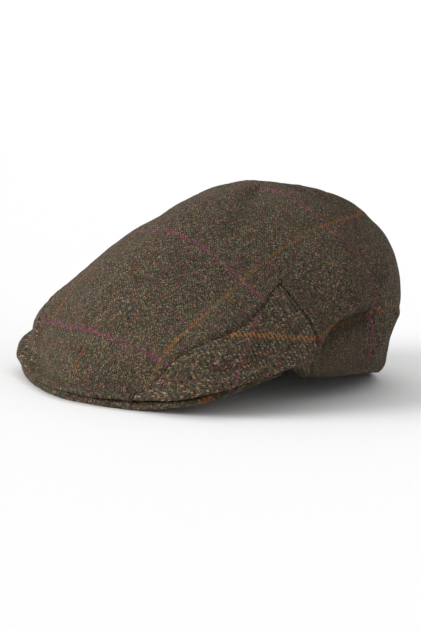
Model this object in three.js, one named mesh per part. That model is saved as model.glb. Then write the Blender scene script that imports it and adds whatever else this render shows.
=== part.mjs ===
import * as THREE from 'three';

// Flat cap, resting on a surface. Millimetres, +Z up.
// The peak points to -Y and the wearer's left side is +X.

// Main sizes
const capLength = 262;
const capWidth = 194;
const capHeight = 125;
const openingWidth = 170;
const openingLength = 212;
const openingSetBack = 14;
const topSetBack = 28;

// Cloth and seams
const clothThickness = 2;
const seamGap = 0.4;
const seamDip = 0.7;
const seamLip = 2.2;

// Peak
const peakThickness = 3.8;
const peakRecess = 2.6;
const peakCornerWidth = 5;
const peakTurn = 66;
const peakTaperStart = 30;
const peakTaperEnd = 70;
const hemOverlap = 4;
const hemGap = 0.3;
const rollThinning = 0.45;

// Gusset: a side panel between two seams, from its front edge to its rear seam.
const gussetFront = 19.5;
const gussetRear = 76;
const rearSeamLean = 15;
const rearSeamRimLean = 4;

// Groove of the seam down the middle of the back
const backSeamWidth = 2.5;
const backSeamDepth = 1;
const backSeamStart = 45;

// Roll above the front hem
const creaseUp = 0.15;
const creaseWidth = 0.06;

// Crown sections, a row every 20 degrees from the front (0) to the back (180).
// side is a share of capWidth, ahead and run of capLength, all the others of capHeight.
// side and ahead place the widest line, belly is its height. rise and run shape the
// curve from there to the top, slope tips the top, crease is the valley over the hem.
// rim is the height of the lower edge, lip the height of the peak's edge.
const sections = [
  { side: 0, ahead: 0.54, belly: 0.055, rise: 0.01, run: 0.418,
    slope: -0.025, crease: 0.03, rim: 0.115, lip: -0.006 },
  { side: 0.2415, ahead: 0.482, belly: 0.059, rise: 0.04, run: 0.394,
    slope: -0.045, crease: 0.036, rim: 0.12, lip: -0.003 },
  { side: 0.418, ahead: 0.388, belly: 0.129, rise: 0.09, run: 0.345,
    slope: -0.115, crease: 0.04, rim: 0.134, lip: 0.058 },
  { side: 0.4905, ahead: 0.2087, belly: 0.2205, rise: 0.074, run: 0.272,
    slope: -0.04, crease: 0.018, rim: 0.165, lip: 0.126 },
  { side: 0.496, ahead: 0.0646, belly: 0.3425, rise: 0.105, run: 0.232,
    slope: 0, crease: 0, rim: 0.127, lip: 0.16 },
  { side: 0.4935, ahead: -0.0643, belly: 0.4714, rise: 0.192, run: 0.2145,
    slope: 0, crease: 0, rim: 0.113, lip: 0.16 },
  { side: 0.4706, ahead: -0.2007, belly: 0.466, rise: 0.281, run: 0.2248,
    slope: 0, crease: 0, rim: 0.098, lip: 0.16 },
  { side: 0.38, ahead: -0.3347, belly: 0.4285, rise: 0.331, run: 0.2543,
    slope: 0, crease: 0, rim: 0.057, lip: 0.16 },
  { side: 0.2114, ahead: -0.429, belly: 0.382, rise: 0.348, run: 0.294,
    slope: 0, crease: 0, rim: 0.003, lip: 0.16 },
  { side: 0, ahead: -0.4645, belly: 0.37, rise: 0.37, run: 0.348,
    slope: 0, crease: 0, rim: 0.003, lip: 0.16 },
];

// Wall below the widest line, in even steps down to the lower edge: shares of the drop
// and of the way in, for the tucked wall of the back and the small roll of the front.
const wallSteps = [
  { wallDown: 0, wallIn: 0, rollDown: 0, rollIn: 0 },
  { wallDown: 0.16, wallIn: 0.08, rollDown: 0.38, rollIn: 0.03 },
  { wallDown: 0.33, wallIn: 0.24, rollDown: 0.66, rollIn: 0.13 },
  { wallDown: 0.5, wallIn: 0.455, rollDown: 0.85, rollIn: 0.3 },
  { wallDown: 0.68, wallIn: 0.55, rollDown: 0.95, rollIn: 0.53 },
  { wallDown: 0.86, wallIn: 0.66, rollDown: 1, rollIn: 0.77 },
  { wallDown: 1, wallIn: 1, rollDown: 1, rollIn: 1 },
];

// Height of the gusset's top seam, in even steps from its front edge to its rear seam,
// as a share of the way from the widest line (0) to the top of the crown (1).
const seamSteps = [0.125, 0.252, 0.305, 0.326, 0.367, 0.418, 0.462];

// Dents and folds on both sides. A row runs from (turn, up) to (turnTo, upTo): degrees
// from the front, and -1 lower edge, 0 widest line, 1 top. width and height are shares
// of capHeight, a dent has a negative height.
const folds = [
  { turn: 30, up: 0.45, turnTo: 40, upTo: 0.56, width: 0.1, height: -0.014, name: 'dent above gusset' },
  { turn: 5, up: 0.3, turnTo: 13, upTo: 0.33, width: 0.09, height: -0.01, name: 'dent on front slope' },
  { turn: 18, up: 0.17, turnTo: 23, upTo: 0.19, width: 0.05, height: -0.012, name: 'dent at gusset tip' },
  { turn: 84, up: -0.04, turnTo: 122, upTo: -0.05, width: 0.03, height: -0.012, name: 'crease under belly' },
  { turn: 123, up: 0.24, turnTo: 112, upTo: 0.07, width: 0.04, height: 0.012, name: 'fold over belly' },
  { turn: 129, up: -0.16, turnTo: 118, upTo: -0.66, width: 0.05, height: 0.02, name: 'fold in back wall' },
  { turn: 88, up: -0.22, turnTo: 107, upTo: -0.3, width: 0.08, height: -0.036, name: 'dent in back wall' },
  { turn: 121, up: 0.83, turnTo: 130, upTo: 0.55, width: 0.03, height: -0.014, name: 'crease at top back' },
  { turn: 134, up: 0.8, turnTo: 144, upTo: 0.58, width: 0.045, height: 0.01, name: 'fold at top back' },
];

const degree = Math.PI / 180;
const clamp01 = (x) => Math.min(1, Math.max(0, x));
const ease = (x) => clamp01(x) ** 2 * (3 - 2 * clamp01(x));
const mix = (a, b, share) => a + (b - a) * share;

// Smooth step from a to b, f from 0 to 1, with the values on either side of them.
function spline(before, a, b, after, f) {
  const cubic = 3 * (a - b) + after - before;
  const square = 2 * before - 5 * a + 4 * b - after;
  return a + 0.5 * f * (b - before + f * (square + f * cubic));
}

// Smooth curve through evenly spaced values, mirrored (or mirrored and negated) at its ends.
function curve(values, at, endSign = 1) {
  const last = values.length - 1;
  const place = clamp01(at) * last;
  const i = Math.min(Math.floor(place), last - 1);
  const f = place - i;
  const before = i === 0 ? endSign * values[1] : values[i - 1];
  const after = i + 2 > last ? endSign * values[last - 1] : values[i + 2];
  const a = values[i];
  const b = values[i + 1];
  return spline(before, a, b, after, f);
}

// A curve through values whose ends go on straight.
function openCurve(values, at) {
  const last = values.length - 1;
  const place = clamp01(at) * last;
  const i = Math.min(Math.floor(place), last - 1);
  const f = place - i;
  const a = values[i];
  const b = values[i + 1];
  const before = i === 0 ? 2 * a - b : values[i - 1];
  const after = i + 2 > last ? 2 * b - a : values[i + 2];
  return spline(before, a, b, after, f);
}

const column = (name) => sections.map((row) => row[name]);
const table = Object.fromEntries(Object.keys(sections[0]).map((name) => [name, column(name)]));
const section = (name, turn) => curve(table[name], Math.abs(turn) / 180);

function bezier(a, b, c, d, t) {
  const s = 1 - t;
  return a * s ** 3 + 3 * b * s * s * t + 3 * c * s * t * t + d * t ** 3;
}

// Widest line of the crown, all the way round.
function bellyPoint(turn) {
  const side = Math.sign(turn) * curve(table.side, Math.abs(turn) / 180, -1) * capWidth;
  return new THREE.Vector3(side, -section('ahead', turn) * capLength, section('belly', turn) * capHeight);
}

// Distance of the oval head opening's edge in a direction.
function openingReach(turn) {
  const a = openingWidth / 2;
  const b = openingLength / 2;
  const x = Math.sin(turn * degree);
  const y = -Math.cos(turn * degree);
  const p = (x / a) ** 2 + (y / b) ** 2;
  const q = (y * openingSetBack) / b ** 2;
  return (q + Math.sqrt(q * q - p * ((openingSetBack / b) ** 2 - 1))) / p;
}

function openingPoint(turn) {
  const reach = openingReach(turn);
  const height = section('rim', turn) * capHeight;
  return new THREE.Vector3(reach * Math.sin(turn * degree), -reach * Math.cos(turn * degree), height);
}

// Underside of the peak, share 0 at the head opening and 1 at its outer edge.
function peakPoint(turn, share, height) {
  const belly = bellyPoint(turn);
  const bellyReach = Math.hypot(belly.x, belly.y);
  const taper = ease((Math.abs(turn) - peakTaperStart) / (peakTaperEnd - peakTaperStart));
  const inner = openingReach(turn);
  const outer = mix(bellyReach - peakRecess, inner + peakCornerWidth, taper);
  const x = mix(belly.x / bellyReach, Math.sin(turn * degree), taper);
  const y = mix(belly.y / bellyReach, -Math.cos(turn * degree), taper);
  const reach = mix(inner, outer, share) / Math.hypot(x, y);
  const z = mix(section('rim', turn), section('lip', turn), share) * capHeight;
  return new THREE.Vector3(x * reach, y * reach, z + height);
}

function peakWidth(turn) {
  return peakPoint(turn, 1, 0).setZ(0).distanceTo(peakPoint(turn, 0, 0).setZ(0));
}

// Lower edge of the cloth: on the peak in front, the rim of the opening behind.
function edgePoint(turn) {
  const share = clamp01(1 - hemOverlap / peakWidth(turn));
  const onPeak = peakPoint(turn, share, peakThickness + hemGap);
  return onPeak.lerp(openingPoint(turn), ease((Math.abs(turn) - peakTurn - 5) / 6));
}

// Smooth surface of the cap: up is -1 at the lower edge, 0 at the widest line, 1 at the top.
function smoothSurface(turn, up) {
  const belly = bellyPoint(turn);
  if (up > 0) {
    const reach = Math.hypot(belly.x, belly.y - topSetBack);
    const crease = section('crease', turn) * capHeight * Math.exp(-(((up - creaseUp) / creaseWidth) ** 2));
    const run = section('run', turn) * capLength;
    const share = (bezier(reach, reach, run, 0, up) - 0.8 * crease) / reach;
    const shoulder = belly.z + section('rise', turn) * capHeight;
    const brow = (1 + section('slope', turn)) * capHeight;
    const z = bezier(belly.z, shoulder, brow, capHeight, up) - 0.6 * crease;
    return new THREE.Vector3(belly.x * share, topSetBack + (belly.y - topSetBack) * share, z);
  }
  const edge = edgePoint(turn);
  const wall = ease((Math.abs(turn) - 60) / 25);
  const step = (name) => openCurve(wallSteps.map((row) => row[name]), -up);
  const inward = mix(step('rollIn'), step('wallIn'), wall);
  const down = mix(step('rollDown'), step('wallDown'), wall);
  const z = mix(belly.z, edge.z, down);
  return new THREE.Vector3(mix(belly.x, edge.x, inward), mix(belly.y, edge.y, inward), z);
}

// The columns of the cloth lean so that one of them follows the gusset's rear seam.
function leanedTurn(turn, up) {
  const far = Math.abs(turn);
  const share = ease((far - gussetFront) / (gussetRear - gussetFront)) * (1 - ease((far - gussetRear) / 64));
  const seamTop = seamSteps[seamSteps.length - 1];
  const climb = clamp01((up - 0.05) / (seamTop - 0.05)) ** 2 * (1 - ease((up - seamTop) / (1 - seamTop)));
  const lean = up < 0 ? -rearSeamRimLean * up : -rearSeamLean * climb;
  return turn + Math.sign(turn) * lean * share;
}

const seamUp = (turn) => curve(seamSteps, (Math.abs(turn) - gussetFront) / (gussetRear - gussetFront));

const foldLines = folds.flatMap((fold) =>
  [1, -1].map((side) => ({
    from: smoothSurface(side * fold.turn, fold.up),
    to: smoothSurface(side * fold.turnTo, fold.upTo),
    width: fold.width * capHeight,
    height: fold.height * capHeight,
  })),
);

function foldHeight(point) {
  let height = 0;
  for (const fold of foldLines) {
    const line = new THREE.Line3(fold.from, fold.to);
    const nearest = line.closestPointToPoint(point, true, new THREE.Vector3());
    height += fold.height * Math.exp(-((nearest.distanceTo(point) / fold.width) ** 2));
  }
  return height;
}

const leanedSurface = (turn, up) => smoothSurface(leanedTurn(turn, up), up);

function backSeamDepthAt(point) {
  const past = ease((point.y - backSeamStart) / 15);
  return backSeamDepth * past * Math.exp(-((point.x / backSeamWidth) ** 2));
}

// A point of the cloth with its outward direction.
function clothPoint(turn, up) {
  const base = leanedSurface(turn, up);
  const along = leanedSurface(turn + 0.6, up).sub(leanedSurface(turn - 0.6, up));
  const below = leanedSurface(turn, Math.max(-1, up - 0.012));
  const upward = leanedSurface(turn, Math.min(1, up + 0.012)).sub(below);
  const outward = along.cross(upward).normalize();
  if (up > 0.999) {
    outward.set(0, 0, 1);
  }
  return { point: base.addScaledVector(outward, foldHeight(base) - backSeamDepthAt(base)), outward };
}

// Steps of turn or up that make half the seam gap, in millimetres along the cloth.
function gapTurn(turn, up) {
  return seamGap / 2 / leanedSurface(turn + 0.5, up).distanceTo(leanedSurface(turn - 0.5, up));
}

function gapUp(turn, up) {
  return (seamGap / 2) * 0.02 / leanedSurface(turn, up + 0.01).distanceTo(leanedSurface(turn, up - 0.01));
}

// The turned hem of the front roll thins toward its edge.
const sheetShare = (turn, up) =>
  1 - rollThinning * ease((0.12 - up) / 0.4) * (1 - ease((Math.abs(turn) - 50) / 25));

// Columns on one side: front part, gusset, back part. Lip columns run beside the rear seam.
const lipTurn = seamLip / (capWidth / 2) / degree;
const between = (from, to, count) => Array.from({ length: count }, (unused, i) => mix(from, to, i / count));
const sideColumns = [
  ...between(0, gussetFront, 4),
  ...between(gussetFront, gussetRear - lipTurn, 11),
  gussetRear - lipTurn,
  gussetRear,
  ...between(gussetRear + lipTurn, 180 - lipTurn, 19),
  180 - lipTurn,
];
const turns = [...sideColumns, 180, ...sideColumns.slice(1).reverse().map((turn) => -turn)];
const frontColumn = sideColumns.indexOf(gussetFront);
const rearColumn = sideColumns.indexOf(gussetRear);

// Rows: below the widest line, from there to the gusset's top seam, and on to the top.
const lowRows = [-1, -0.82, -0.64, -0.48, -0.32, -0.16, 0];
const seamRows = [0.32, 0.66, 0.94, 1];
const topRows = [0.025, 0.1, 0.2, 0.32, 0.45, 0.58, 0.71, 0.84, 1];
const rowCount = lowRows.length + seamRows.length + topRows.length;
const seamRow = lowRows.length + seamRows.length - 1;

function rowUp(row, turn) {
  const seam = seamUp(turn);
  if (row < lowRows.length) {
    return lowRows[row];
  }
  if (row <= seamRow) {
    return seamRows[row - lowRows.length] * seam;
  }
  return mix(seam, 1, topRows[row - seamRow - 1]);
}

const columnPlace = (i) => (i <= turns.length / 2 ? i : turns.length - i);

// Whether the cell between columns i, i + 1 and rows j, j + 1 is part of a gusset.
function inGusset(i, j) {
  const near = Math.min(columnPlace(i), columnPlace((i + 1) % turns.length));
  return near >= frontColumn && near < rearColumn && j < seamRow;
}

// Closed sheet of cloth over the chosen cells, with its edges drawn back from the seams.
function clothSheet(chosen, isGusset) {
  const positions = [];
  const faces = [];
  const corners = new Map();
  const wrap = (i) => (i + turns.length) % turns.length;
  const has = (i, j) => j >= 0 && j < rowCount - 1 && chosen(wrap(i), j);

  function corner(iAny, j) {
    const i = wrap(iAny);
    const isTop = j === rowCount - 1;
    const key = isTop ? 'top' : `${i},${j}`;
    if (!corners.has(key)) {
      const turn = turns[i];
      const side = Math.sign(turn);
      const place = columnPlace(i);
      const onTopSeam = j === seamRow && place >= frontColumn && place <= rearColumn;
      const onFrontSeam = place === frontColumn && j <= seamRow;
      const onRearSeam = place === rearColumn && j <= seamRow;
      const inward = isGusset ? 1 : -1;
      let up = rowUp(j, turn);
      let placedTurn = turn;
      if (onTopSeam) {
        up -= inward * gapUp(turn, up);
      }
      if (onFrontSeam) {
        placedTurn += side * inward * gapTurn(turn, up);
      }
      if (onRearSeam) {
        placedTurn -= side * inward * gapTurn(turn, up);
      }
      const { point, outward } = clothPoint(placedTurn, up);
      const dip = onTopSeam || onFrontSeam || onRearSeam ? seamDip * ease(1 + up) : 0;
      corners.set(key, positions.length);
      positions.push(point.clone().addScaledVector(outward, -dip));
      positions.push(point.clone().addScaledVector(outward, -clothThickness * sheetShare(turn, up)));
    }
    return corners.get(key);
  }

  function quad(a, b, c, d) {
    if (a !== b) {
      faces.push(a, b, c);
    }
    if (c !== d) {
      faces.push(a, c, d);
    }
  }

  for (let i = 0; i < turns.length; i += 1) {
    for (let j = 0; j < rowCount - 1; j += 1) {
      if (has(i, j)) {
        const a = corner(i, j);
        const b = corner(i + 1, j);
        const c = corner(i + 1, j + 1);
        const d = corner(i, j + 1);
        quad(a, b, c, d);
        quad(d + 1, c + 1, b + 1, a + 1);
        if (!has(i, j - 1)) {
          quad(b, a, a + 1, b + 1);
        }
        if (!has(i, j + 1) && j < rowCount - 2) {
          quad(c, c + 1, d + 1, d);
        }
        if (!has(i - 1, j)) {
          quad(a, d, d + 1, a + 1);
        }
        if (!has(i + 1, j)) {
          quad(b, b + 1, c + 1, c);
        }
      }
    }
  }
  return meshGeometry(positions, faces);
}

function meshGeometry(positions, faces) {
  const geometry = new THREE.BufferGeometry();
  const numbers = positions.flatMap((p) => p.toArray());
  geometry.setAttribute('position', new THREE.Float32BufferAttribute(numbers, 3));
  geometry.setIndex(faces);
  return geometry;
}

// Peak: a board covered with cloth, with a rounded outer edge.
function peakBoard() {
  const columns = 28;
  const shares = [0, 0.22, 0.44, 0.66, 0.86];
  const edgeAngles = [-90, -45, 0, 45, 90];
  const half = peakThickness / 2;
  const positions = [];
  const faces = [];
  for (let i = 0; i <= columns; i += 1) {
    const turn = mix(-peakTurn, peakTurn, i / columns);
    const edgeShare = 1 - half / peakWidth(turn);
    shares.forEach((share) => positions.push(peakPoint(turn, share * edgeShare, 0)));
    edgeAngles.forEach((angle) => {
      const out = mix(edgeShare, 1, Math.cos(angle * degree));
      positions.push(peakPoint(turn, out, half + half * Math.sin(angle * degree)));
    });
    [...shares].reverse().forEach((share) => {
      positions.push(peakPoint(turn, share * edgeShare, peakThickness));
    });
  }
  const around = shares.length * 2 + edgeAngles.length;
  for (let i = 0; i < columns; i += 1) {
    for (let k = 0; k < around; k += 1) {
      const a = i * around + k;
      const b = i * around + ((k + 1) % around);
      faces.push(a, b + around, b, a, a + around, b + around);
    }
  }
  const closeEnd = (start, flipped) => {
    for (let k = 0; k < Math.floor((around - 1) / 2); k += 1) {
      const a = start + k;
      const b = start + k + 1;
      const c = start + around - 1 - k;
      const d = start + around - 2 - k;
      const corners = b === d ? [a, c, b] : [a, c, b, b, c, d];
      faces.push(...(flipped ? corners.reverse() : corners));
    }
  };
  closeEnd(0, true);
  closeEnd(columns * around, false);
  return meshGeometry(positions, faces);
}

const group = new THREE.Group();
group.name = 'flat_cap';

function addPiece(name, geometry, color) {
  const material = new THREE.MeshStandardMaterial({ color, roughness: 0.95, metalness: 0 });
  material.name = `${name}_cloth`;
  const mesh = new THREE.Mesh(geometry, material);
  mesh.name = name;
  group.add(mesh);
}

addPiece('crown', clothSheet((i, j) => !inGusset(i, j), false), 0x504439);
addPiece('gusset_left', clothSheet((i, j) => inGusset(i, j) && i < turns.length / 2, true), 0x4d4238);
addPiece('gusset_right', clothSheet((i, j) => inGusset(i, j) && i >= turns.length / 2, true), 0x4d4238);
addPiece('peak', peakBoard(), 0x4b3f35);

// The cap rests on z = 0 and is centred over the origin.
const bounds = new THREE.Box3().setFromObject(group);
const centre = bounds.getCenter(new THREE.Vector3());
group.children.forEach((mesh) => mesh.geometry.translate(0, -centre.y, -bounds.min.z));

export default group;
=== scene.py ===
"""Flat cap of checked wool twill, dressed over its solid frame.

The cloth panels follow the same sections as the solids, with the seams, stitches, folds,
grain and check of the real cap.
"""

import math

import bpy
import numpy as np
from mathutils import Matrix, Vector


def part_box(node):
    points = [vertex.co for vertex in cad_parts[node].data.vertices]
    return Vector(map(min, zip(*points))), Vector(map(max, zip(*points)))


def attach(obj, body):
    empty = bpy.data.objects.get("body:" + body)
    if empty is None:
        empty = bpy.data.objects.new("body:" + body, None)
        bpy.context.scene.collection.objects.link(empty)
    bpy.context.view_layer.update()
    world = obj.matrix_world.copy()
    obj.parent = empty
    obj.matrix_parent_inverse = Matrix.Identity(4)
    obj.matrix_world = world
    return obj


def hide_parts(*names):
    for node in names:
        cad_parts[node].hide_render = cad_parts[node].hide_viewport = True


bl_info = {
    "name": "Flat Cap",
    "version": (1, 0, 0),
    "blender": (4, 5, 0),
    "location": "View3D > Sidebar > Flat Cap",
    "description": "Builds a checked tweed flat cap over its solid frame",
    "category": "Object",
}

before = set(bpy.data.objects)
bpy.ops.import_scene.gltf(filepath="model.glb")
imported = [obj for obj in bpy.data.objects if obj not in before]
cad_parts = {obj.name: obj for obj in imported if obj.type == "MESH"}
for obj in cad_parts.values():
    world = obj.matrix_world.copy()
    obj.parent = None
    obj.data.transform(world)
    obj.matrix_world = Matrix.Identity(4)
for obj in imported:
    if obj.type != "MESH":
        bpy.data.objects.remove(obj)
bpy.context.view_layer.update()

MM = 0.001

# Sections every 20 degrees from the front to the back, as shares of the cap's sizes.
SECTIONS = {
    "side": [0, 0.2415, 0.418, 0.4905, 0.496, 0.4935, 0.4706, 0.38, 0.2114, 0],
    "ahead": [0.54, 0.482, 0.388, 0.2087, 0.0646, -0.0643, -0.2007, -0.3347, -0.429, -0.4645],
    "belly": [0.055, 0.059, 0.129, 0.2205, 0.3425, 0.4714, 0.466, 0.4285, 0.382, 0.37],
    "rise": [0.01, 0.04, 0.09, 0.074, 0.105, 0.192, 0.281, 0.331, 0.348, 0.37],
    "run": [0.418, 0.394, 0.345, 0.272, 0.232, 0.2145, 0.2248, 0.2543, 0.294, 0.348],
    "slope": [-0.025, -0.045, -0.115, -0.04, 0, 0, 0, 0, 0, 0],
    "crease": [0.03, 0.036, 0.04, 0.018, 0, 0, 0, 0, 0, 0],
    "rim": [0.115, 0.12, 0.134, 0.165, 0.127, 0.113, 0.098, 0.057, 0.003, 0.003],
    "lip": [-0.006, -0.003, 0.058, 0.126, 0.16, 0.16, 0.16, 0.16, 0.16, 0.16],
}

# Even steps from the widest line down to the lower edge: drop and way in, as shares.
WALL_STEPS = {
    "wall_down": [0, 0.16, 0.33, 0.5, 0.68, 0.86, 1],
    "wall_in": [0, 0.08, 0.24, 0.455, 0.55, 0.66, 1],
    "roll_down": [0, 0.38, 0.66, 0.85, 0.95, 1, 1],
    "roll_in": [0, 0.03, 0.13, 0.3, 0.53, 0.77, 1],
}

# Where the gusset's top seam lies, as up, at even steps of turn from its front to its corner.
SEAM_STEPS = [0.125, 0.252, 0.305, 0.326, 0.367, 0.418, 0.462]

# Folds and dents: turn, up, turn to, up to, width and height in shares of the cap's height.
FOLDS = [
    (30, 0.45, 40, 0.56, 0.1, -0.014),
    (5, 0.3, 13, 0.33, 0.09, -0.01),
    (18, 0.17, 23, 0.19, 0.05, -0.012),
    (84, -0.04, 122, -0.05, 0.03, -0.012),
    (123, 0.24, 112, 0.07, 0.04, 0.012),
    (129, -0.16, 118, -0.66, 0.05, 0.02),
    (88, -0.22, 107, -0.3, 0.08, -0.036),
    (121, 0.83, 130, 0.55, 0.03, -0.014),
    (134, 0.8, 144, 0.58, 0.045, 0.01),
]

# Creases on each side in millimetres: depth, width, overhang of the cloth above, hollow below.
CREASES = {
    "under the belly": (1.5, 2.4, 1.3, 2.4),
    "behind the gusset": (2.8, 6.5, 0.0, 0.0),
    "top back": (1.2, 2.0, 0.0, 0.0),
}

# The paths of those creases as turn and up.
CREASE_PATHS = {
    "under the belly": [
        (76, -0.3), (80, -0.14), (84, -0.06), (92, -0.03), (104, -0.04), (118, -0.04),
    ],
    "behind the gusset": [(81, -0.04), (82, -0.2), (82, -0.4), (80, -0.66), (79, -0.8)],
    "top back": [(127, 0.9), (126.5, 0.78), (125.5, 0.69), (127, 0.62), (131, 0.54)],
}

# The back seam in millimetres: its start behind the middle, its topstitch and its ridges.
BACK_SEAM = {
    "start": 45, "fade": 15, "width": 2.5, "depth": 1.0,
    "groove": 0.9, "groove_width": 0.8,
    "ridge": 0.75, "ridge_place": 3.4, "ridge_width": 2.2,
    "stitch_place": 5.2, "stitch_depth": 0.45, "stitch_width": 0.7, "stitch_start": 62,
}

# How the crown's cloth is pulled off its straight grain: places in millimetres, and shares.
PULL = {
    "fan": 30.0, "round_back": 85, "blend": 25,
    "gather": 0.25, "gather_from": 5, "gather_over": 95,
    "sweep": 0.003, "sweep_width": 78, "sweep_from": 120, "sweep_over": 80,
    "droop": 0.35, "droop_from": 75, "droop_width": 60, "droop_start": 105, "droop_over": 110,
}


def ease(x):
    """Smooth step from 0 to 1."""
    x = np.clip(x, 0, 1)
    return x * x * (3 - 2 * x)


def mix(a, b, share):
    return a + (b - a) * share


def curve(values, at, end_sign=1):
    """Smooth curve through even steps, mirrored at both ends."""
    return spline(values, at, end_sign * values[1], end_sign * values[-2])


def open_curve(values, at):
    """Smooth curve through even steps whose ends go on straight."""
    return spline(values, at, 2 * values[0] - values[1], 2 * values[-1] - values[-2])


def spline(values, at, before, after):
    """Smooth curve through even steps, led by a value before the first and after the last."""
    last = len(values) - 1
    points = np.array([before, *values, after], float)
    place = np.clip(at, 0, 1) * last
    i = np.minimum(place.astype(int), last - 1)
    f = place - i
    a, b, c, d = points[i], points[i + 1], points[i + 2], points[i + 3]
    return b + 0.5 * f * (c - a + f * (2 * a - 5 * b + 4 * c - d + f * (3 * (b - c) + d - a)))


def bezier(a, b, c, d, t):
    s = 1 - t
    return a * s**3 + 3 * b * s * s * t + 3 * c * s * t * t + d * t**3


def unit(v):
    return v / np.maximum(np.linalg.norm(v, axis=-1, keepdims=True), 1e-9)


def arc_length(line):
    """Length along a line of points, up to each of them."""
    return np.concatenate([[0], np.cumsum(np.linalg.norm(np.diff(line, axis=0), axis=1))])


def ring(away, place, width):
    """Soft ridge of height 1 at a distance from a line."""
    return np.exp(-(((away - place) / width) ** 2))


class CapForm:
    """The cap's surface in millimetres, by turn round the cap and height up the cloth.

    turn is 0 at the front, 90 on the wearer's left and 180 at the back.
    up is -1 at the lower edge, 0 at the widest line and 1 at the top.
    """

    def __init__(self, sizes):
        self.length = sizes.length / MM
        self.width = sizes.width / MM
        self.height = sizes.height / MM
        self.opening_width = sizes.opening_width / MM
        self.opening_length = sizes.opening_length / MM
        self.opening_back = sizes.opening_set_back / MM
        self.top_back = sizes.top_set_back / MM
        self.cloth = sizes.cloth / MM
        self.peak_thickness = sizes.peak_thickness / MM
        self.peak_turn = 66
        self.gusset_front = 19.5
        self.gusset_rear = 76
        self.peak_recess = 2.6
        self.peak_corner = 5
        self.hem_overlap = 4
        self.hem_gap = 0.3
        self.crease_up = 0.15
        self.crease_width = 0.06
        self.crease_in, self.crease_down = 0.8, 0.6
        self.seam_lean = 15
        self.rim_lean = 4
        self.lean_over = 64
        self.taper_from, self.taper_over = 30, 40
        self.wall_from, self.wall_over = 60, 25
        self.rim_past, self.rim_over = 5, 6
        self.folds = []
        for turn, up, turn_to, up_to, width, height in FOLDS:
            for side in (1, -1):
                turns = np.array([side * turn, side * turn_to], float)
                start, end = self.smooth(turns, np.array([up, up_to], float))
                self.folds.append((start, end, width * self.height, height * self.height))

    def section(self, name, turn):
        return curve(SECTIONS[name], np.abs(turn) / 180)

    def belly(self, turn):
        side = np.sign(turn) * curve(SECTIONS["side"], np.abs(turn) / 180, -1) * self.width
        ahead = self.section("ahead", turn) * self.length
        return side, -ahead, self.section("belly", turn) * self.height

    def opening_reach(self, turn):
        a, b = self.opening_width / 2, self.opening_length / 2
        x, y = np.sin(np.radians(turn)), -np.cos(np.radians(turn))
        p = (x / a) ** 2 + (y / b) ** 2
        q = y * self.opening_back / b**2
        return (q + np.sqrt(q * q - p * ((self.opening_back / b) ** 2 - 1))) / p

    def peak(self, turn, share, height):
        """Point of the peak's underside, share 0 at the opening and 1 at its edge."""
        bx, by, _ = self.belly(turn)
        reach = np.hypot(bx, by)
        taper = ease((np.abs(turn) - self.taper_from) / self.taper_over)
        inner = self.opening_reach(turn)
        outer = mix(reach - self.peak_recess, inner + self.peak_corner, taper)
        x = mix(bx / reach, np.sin(np.radians(turn)), taper)
        y = mix(by / reach, -np.cos(np.radians(turn)), taper)
        out = mix(inner, outer, share) / np.hypot(x, y)
        z = mix(self.section("rim", turn), self.section("lip", turn), share) * self.height
        return np.stack([x * out, y * out, z + height], -1)

    def peak_width(self, turn):
        flat = self.peak(turn, 1 + 0 * turn, 0) - self.peak(turn, 0 * turn, 0)
        return np.hypot(flat[..., 0], flat[..., 1])

    def edge(self, turn):
        """Lower edge of the cloth: on the peak in front, the rim of the opening behind."""
        share = np.clip(1 - self.hem_overlap / self.peak_width(turn), 0, 1)
        on_peak = self.peak(turn, share, self.peak_thickness + self.hem_gap)
        reach = self.opening_reach(turn)
        rim = np.stack([
            reach * np.sin(np.radians(turn)),
            -reach * np.cos(np.radians(turn)),
            self.section("rim", turn) * self.height,
        ], -1)
        past_peak = ease((np.abs(turn) - self.peak_turn - self.rim_past) / self.rim_over)
        return mix(on_peak, rim, past_peak[..., None])

    def smooth(self, turn, up):
        bx, by, bz = self.belly(turn)
        high = np.clip(up, 0, 1)
        reach = np.hypot(bx, by - self.top_back)
        crease = np.exp(-(((high - self.crease_up) / self.crease_width) ** 2))
        crease = self.section("crease", turn) * self.height * crease
        run = self.section("run", turn) * self.length
        share = (bezier(reach, reach, run, 0, high) - self.crease_in * crease) / reach
        shoulder = bz + self.section("rise", turn) * self.height
        brow = (1 + self.section("slope", turn)) * self.height
        z = bezier(bz, shoulder, brow, self.height, high) - self.crease_down * crease
        upper = np.stack([bx * share, self.top_back + (by - self.top_back) * share, z], -1)
        edge = self.edge(turn)
        wall = ease((np.abs(turn) - self.wall_from) / self.wall_over)
        low = np.clip(-up, 0, 1)
        reached = {name: open_curve(values, low) for name, values in WALL_STEPS.items()}
        inward = mix(reached["roll_in"], reached["wall_in"], wall)
        down = mix(reached["roll_down"], reached["wall_down"], wall)
        lower = np.stack([
            mix(bx, edge[..., 0], inward), mix(by, edge[..., 1], inward), mix(bz, edge[..., 2], down),
        ], -1)
        return np.where((up > 0)[..., None], upper, lower)

    def leaned(self, turn, up):
        """The surface with its columns leaned along the gusset's rear seam."""
        past_rear = ease((np.abs(turn) - self.gusset_rear) / self.lean_over)
        share = ease(self.along_gusset(turn)) * (1 - past_rear)
        foot, top = 0.05, SEAM_STEPS[-1]
        climb = np.clip((up - foot) / (top - foot), 0, 1) ** 2 * (1 - ease((up - top) / (1 - top)))
        lean = np.where(up < 0, -self.rim_lean * up, -self.seam_lean * climb)
        return self.smooth(turn + np.sign(turn) * lean * share, up)

    def along_gusset(self, turn):
        return (np.abs(turn) - self.gusset_front) / (self.gusset_rear - self.gusset_front)

    def seam_up(self, turn):
        return curve(SEAM_STEPS, self.along_gusset(turn))

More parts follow.
